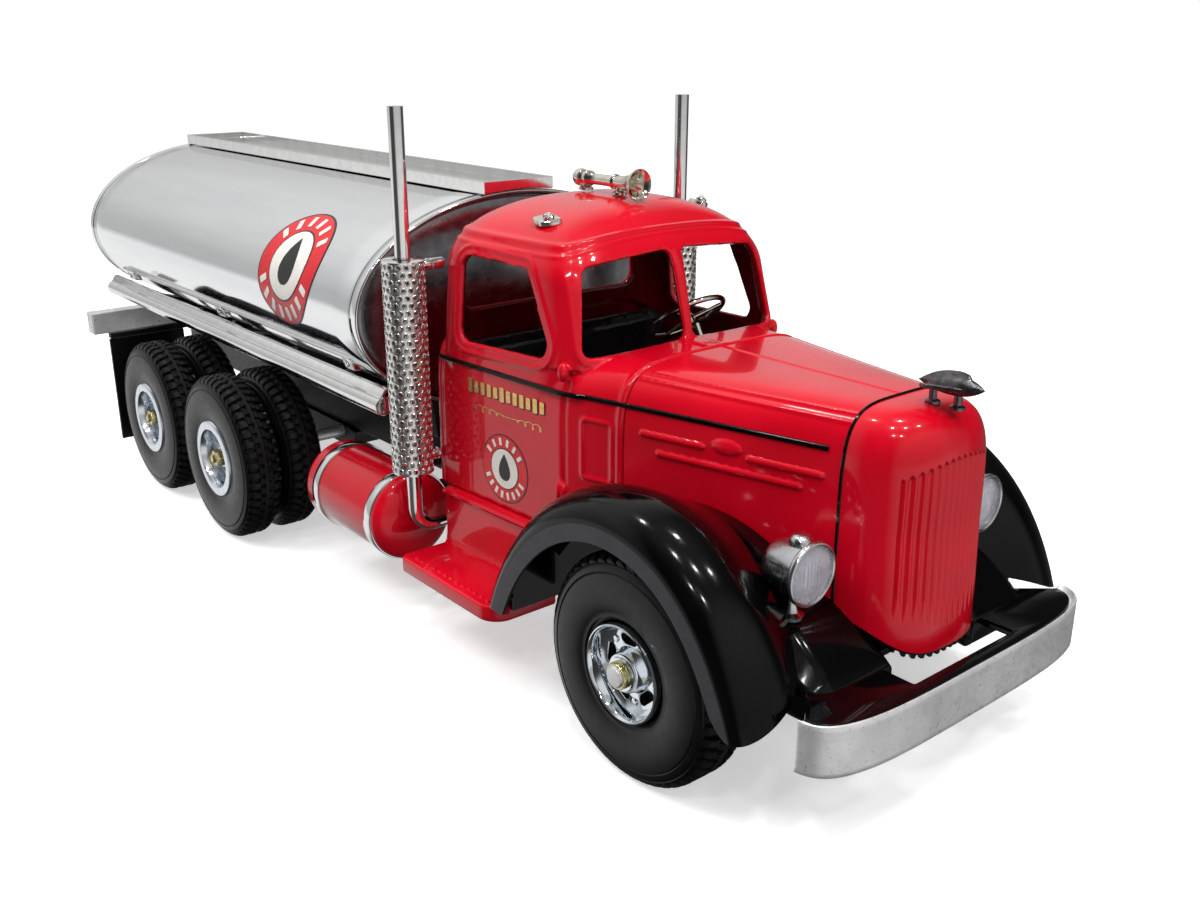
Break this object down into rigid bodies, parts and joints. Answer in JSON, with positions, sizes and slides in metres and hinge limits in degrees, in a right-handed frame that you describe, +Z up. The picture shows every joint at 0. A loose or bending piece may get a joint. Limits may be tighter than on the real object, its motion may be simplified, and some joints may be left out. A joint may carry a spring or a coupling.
{
  "type": "toy tanker truck",
  "caption": "Toy tanker truck: cast cab with open windows, oval polished tank on a ladder chassis, upright exhaust stacks and free-rolling rubber-tyred wheels.",
  "frame": {"origin": "on the ground under the centre of the truck's bounding box", "axes": "+X to the truck's front, +Y to the truck's left side, +Z up"},
  "size_m": [0.5716, 0.199, 0.2101],
  "materials": {
    "red_enamel": "deep gloss red enamel",
    "black_enamel": "gloss black enamel",
    "chassis_black": "satin black paint",
    "polished_metal": "mirror polished",
    "nickel": "warm nickel plate",
    "cast_metal": "rough cast and lightly buffed",
    "rubber": "smooth black rubber",
    "seat_black": "glossy black",
    "lens_glass": "clear moulded lens"
  },
  "bodies": {
    "truck": {"air_horn": "nickel", "bench_seat": "seat_black", "bumper_apron": "black_enamel", "cab_body": "red_enamel", "cab_floor": "chassis_black", "catwalk_tray": "polished_metal", "chassis_frame": "chassis_black", "exhaust_pipe_left": "polished_metal", "exhaust_pipe_right": "polished_metal", "front_axle": "chassis_black", "front_bumper": "cast_metal", "front_fender_left": "black_enamel", "front_fender_right": "black_enamel", "fuel_tank_left": "red_enamel", "fuel_tank_right": "red_enamel", "headlight_lens_left": "lens_glass", "headlight_lens_right": "lens_glass", "headlight_shell_left": "cast_metal", "headlight_shell_right": "cast_metal", "hood": "red_enamel", "hood_ornament": "cast_metal", "marker_light_left": "nickel", "marker_light_right": "nickel", "mudflap_left": "rubber", "mudflap_right": "rubber", "radiator_shell": "red_enamel", "rear_axle_aft": "cast_metal", "rear_axle_forward": "cast_metal", "rear_bogie": "chassis_black", "rear_bumper": "cast_metal", "running_board_left": "red_enamel", "running_board_right": "red_enamel", "side_rail_left": "polished_metal", "side_rail_right": "polished_metal", "stack_shield_left": "polished_metal", "stack_shield_right": "polished_metal", "steering_column": "nickel", "steering_wheel": "nickel", "tank_front_head": "polished_metal", "tank_rear_head": "polished_metal", "tank_saddle_front": "chassis_black", "tank_saddle_middle": "chassis_black", "tank_saddle_rear": "chassis_black", "tank_shell": "polished_metal"},
    "front_left_wheel": {"front_tyre_left": "rubber", "front_rim_left": "polished_metal"},
    "front_right_wheel": {"front_tyre_right": "rubber", "front_rim_right": "polished_metal"},
    "forward_left_wheels": {"forward_outer_tyre_left": "rubber", "forward_inner_tyre_left": "rubber", "forward_rim_left": "polished_metal"},
    "aft_left_wheels": {"aft_outer_tyre_left": "rubber", "aft_inner_tyre_left": "rubber", "aft_rim_left": "polished_metal"},
    "forward_right_wheels": {"forward_outer_tyre_right": "rubber", "forward_inner_tyre_right": "rubber", "forward_rim_right": "polished_metal"},
    "aft_right_wheels": {"aft_outer_tyre_right": "rubber", "aft_inner_tyre_right": "rubber", "aft_rim_right": "polished_metal"}
  },
  "joints": [
    {"name": "front_left_wheel_spin", "type": "hinge", "parent": "truck", "child": "front_left_wheel", "pos_m": [0.205, 0.0719, 0.04], "axis": [0, 1, 0], "continuous": true},
    {"name": "front_right_wheel_spin", "type": "hinge", "parent": "truck", "child": "front_right_wheel", "pos_m": [0.205, -0.0719, 0.04], "axis": [0, 1, 0], "continuous": true},
    {"name": "forward_left_wheels_spin", "type": "hinge", "parent": "truck", "child": "forward_left_wheels", "pos_m": [-0.0777, 0.079, 0.04], "axis": [0, 1, 0], "continuous": true},
    {"name": "aft_left_wheels_spin", "type": "hinge", "parent": "truck", "child": "aft_left_wheels", "pos_m": [-0.1623, 0.079, 0.04], "axis": [0, 1, 0], "continuous": true},
    {"name": "forward_right_wheels_spin", "type": "hinge", "parent": "truck", "child": "forward_right_wheels", "pos_m": [-0.0777, -0.079, 0.04], "axis": [0, 1, 0], "continuous": true},
    {"name": "aft_right_wheels_spin", "type": "hinge", "parent": "truck", "child": "aft_right_wheels", "pos_m": [-0.1623, -0.079, 0.04], "axis": [0, 1, 0], "continuous": true}
  ]
}
